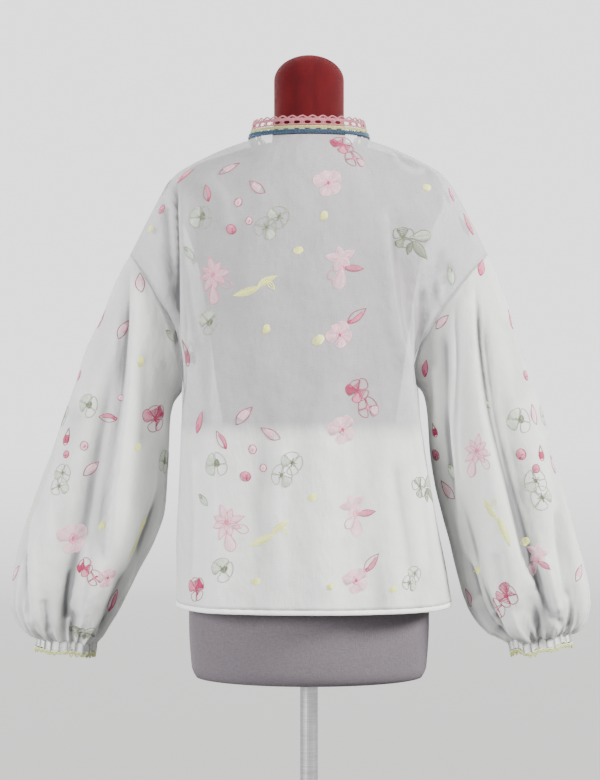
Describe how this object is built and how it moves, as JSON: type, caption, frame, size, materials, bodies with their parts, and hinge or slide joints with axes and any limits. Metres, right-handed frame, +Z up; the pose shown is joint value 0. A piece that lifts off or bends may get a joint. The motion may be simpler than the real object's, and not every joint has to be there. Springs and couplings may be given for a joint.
{
  "type": "balloon sleeve blouse on a limbless dress form",
  "caption": "Loose pull-on cotton blouse with dropped shoulders, full sleeves gathered into narrow cuffs and a crocheted neck trim, worn by a limbless dress form on a pole and round base.",
  "frame": {"origin": "centre of the underside of the round base, on the floor", "axes": "+Z up; the back of the blouse faces -Y and the front faces +Y; the wearer's left arm is at -X and the right arm at +X"},
  "size_m": [0.8085, 0.38, 1.488],
  "materials": {
    "cotton": "thin white cotton gauze with light flower embroidery",
    "teal_yarn": "crocheted cotton yarn",
    "cream_yarn": "crocheted cotton yarn",
    "pink_yarn": "crocheted cotton yarn",
    "green_yellow_yarn": "crocheted cotton yarn",
    "form_linen": "stretched woven cover",
    "form_velvet": "short-pile velvet",
    "form_steel": "brushed"
  },
  "bodies": {
    "root": {"back_panel": "cotton", "front_panel": "cotton", "sleeve_left": "cotton", "sleeve_right": "cotton", "cuff_left": "cotton", "cuff_right": "cotton", "cuff_edge_left": "green_yellow_yarn", "cuff_edge_right": "green_yellow_yarn", "hem_back": "cotton", "hem_front": "cotton", "neck_braid_back": "teal_yarn", "neck_braid_front": "teal_yarn", "neck_band_back": "cream_yarn", "neck_band_front": "cream_yarn", "neck_lace_back": "pink_yarn", "neck_lace_front": "pink_yarn", "form_torso": "form_linen", "form_neck": "form_velvet", "form_pole": "form_steel", "form_base": "form_steel"}
  },
  "joints": []
}
